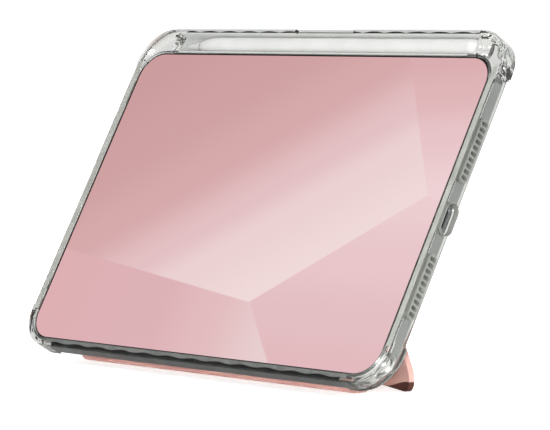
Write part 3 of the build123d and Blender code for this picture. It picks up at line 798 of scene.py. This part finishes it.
def creaseSkin(name, path, span, along, thickness):
    # a strip of the covering that crosses a crease; path is its section, span its two ends along the crease
    loop = thickened(path, thickness)
    if along == "x":
        rings = [[(x, y, z) for y, z in loop] for x in span]
    else:
        rings = [[(x, y, z) for x, y in loop] for z in span]
    piece = addPiece(name, ringLoft(rings), leather, space=inWorld, smooth=60)
    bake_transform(piece)
    return piece


def throughPoints(*corners):
    # a path through the corners, with more points along each run
    count = crease["points"]
    path = [tuple(a + (b - a) * i / count for a, b in zip(start, end))
            for start, end in zip(corners, corners[1:]) for i in range(count)]
    return path + [tuple(corners[-1])]


# over the main crease: from the header's outer face down onto the leg
hinge = Vector(joints["leg_fold"]["pos_m"]) / mm
headerOff = crease["board"] + crease["off"] + crease["headerOff"]
headerFoot = hinge + upGlass * crease["gap"] - outOfGlass * headerOff
headerLap = headerFoot + upGlass * crease["lap"]
legTop = Vector((0, hinge.y + crease["board"] + crease["off"], hinge.z - crease["belowHinge"]))
legLap = legTop - Vector((0, 0, crease["lap"]))
creaseSkin("mainCreaseSkin", throughPoints(headerLap.yz, headerFoot.yz, legTop.yz, legLap.yz),
           (-crease["halfWidth"], crease["halfWidth"]), "x", crease["thick"])

# over the two side creases: from the leg's back onto each wing
for sign, word in ((1, "right"), (-1, "left")):
    turn = Vector(joints[word + "_wing_fold"]["pos_m"]) / mm
    low, high = (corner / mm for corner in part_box("wing_" + word))
    wingEnd = Vector((high.x if sign > 0 else low.x, low.y))
    run = (wingEnd - turn.xy).normalized()
    backward = Vector((-run.y, run.x)) * sign
    legEdge = Vector((turn.x - sign * crease["wingGap"], turn.y + crease["board"] + crease["off"]))
    wingEdge = turn.xy + run * crease["wingGap"] + backward * (crease["board"] + crease["off"])
    legLap = legEdge - Vector((sign * crease["lap"], 0))
    path = throughPoints(legLap, legEdge, wingEdge, wingEdge + run * crease["lap"])
    creaseSkin(word + "CreaseSkin", path if sign > 0 else path[::-1], crease["height"], "z", crease["thick"])
print("stand cover skins")


# camera, floor and light

view = {"place": (0.7985, -0.7883, 0.1369), "right": (0.70585, 0.70836, 0.0),
        "ahead": (-0.70676, 0.70425, -0.06733), "lens": 187.7}
camera = bpy.data.objects.new("camera", bpy.data.cameras.new("camera"))
bpy.context.scene.collection.objects.link(camera)
ahead, right = Vector(view["ahead"]).normalized(), Vector(view["right"]).normalized()
up = right.cross(ahead)
camera.matrix_world = Matrix.Translation(view["place"]) @ Matrix((right, up, -ahead)).transposed().to_4x4()
camera.data.lens = view["lens"]
camera.data.clip_end = 50
bpy.context.scene.camera = camera

# lift is a glow that only the camera sees, so that the paper is as white as the room
floorLook = {"size": 12.0, "colour": "F4F4F2", "lift": 0.7}
floorMesh = bmesh.new()
bmesh.ops.create_grid(floorMesh, x_segments=2, y_segments=2, size=floorLook["size"] / 2)
floorData = bpy.data.meshes.new("floor")
floorMesh.to_mesh(floorData)
floor = bpy.data.objects.new("floor", floorData)
bpy.context.scene.collection.objects.link(floor)
floorPaint, floorTree, floorShader = newMaterial("mattPaper")
cameraSees = addNode(floorTree, "ShaderNodeLightPath").outputs["Is Camera Ray"]
lift = addNode(floorTree, "ShaderNodeMapRange", {"Value": cameraSees, "To Max": floorLook["lift"]})
feed(floorTree, floorShader, BaseColor=linear(floorLook["colour"]), Roughness=0.9,
     EmissionColor=linear("FFFFFF"), EmissionStrength=lift)
floorData.materials.append(floorPaint)

# a white room, with a black flag up at the left front, which keeps the glass clear of glare
studio = {"white": 1.0, "room": 0.78, "flag": 0.12, "towards": (-0.70, -0.45, 0.55), "edge": (0.8, 0.93)}
world = bpy.data.worlds.new("studio")
bpy.context.scene.world = world
world.use_nodes = True
sky = world.node_tree
sky.nodes.clear()
direction = addNode(sky, "ShaderNodeTexCoord").outputs["Generated"]
facing = addNode(sky, "ShaderNodeVectorMath", {0: direction, 1: Vector(studio["towards"]).normalized()},
                 operation="DOT_PRODUCT").outputs["Value"]
level = addNode(sky, "ShaderNodeMapRange",
                {"Value": facing, "From Min": studio["edge"][0], "From Max": studio["edge"][1],
                 "To Min": studio["room"], "To Max": studio["flag"]})
seen = addNode(sky, "ShaderNodeLightPath").outputs["Is Camera Ray"]
strength = addNode(sky, "ShaderNodeMix", {0: seen, 2: level, 3: studio["white"]})
background = addNode(sky, "ShaderNodeBackground", {"Color": linear("FFFFFF"), "Strength": strength})
addNode(sky, "ShaderNodeOutputWorld", {"Surface": background})

middle = (0, 0, 0.06)
lamps = {
    "keySoftbox": {"place": (0.6, -0.5, 1.4), "aim": middle, "size": (1.2, 1.2), "power": 5},
    "backSoftbox": {"place": (-0.9, 0.9, 1.1), "aim": middle, "size": (1.2, 1.2), "power": 4},
    "fillSoftbox": {"place": (0.9, -1.1, 0.12), "aim": middle, "size": (0.6, 0.6), "power": 11},
    # a narrow strip light lying on the table, for the foot of the stand only
    "tableStrip": {"place": (0.62, -0.76, 0.02), "aim": (0, -0.03, 0.0), "size": (0.7, 0.04), "power": 0.07,
                   "beam": 8},
}
for name, lamp in lamps.items():
    data = bpy.data.lights.new(name, "AREA")
    data.shape = "RECTANGLE"
    data.size, data.size_y = lamp["size"]
    data.energy = lamp["power"]
    data.spread = math.radians(lamp.get("beam", 180))
    light = bpy.data.objects.new(name, data)
    light.location = lamp["place"]
    light.rotation_euler = (Vector(lamp["aim"]) - light.location).to_track_quat("-Z", "Y").to_euler()
    bpy.context.scene.collection.objects.link(light)
bpy.context.scene.view_settings.view_transform = "Standard"
print("camera, floor and light")
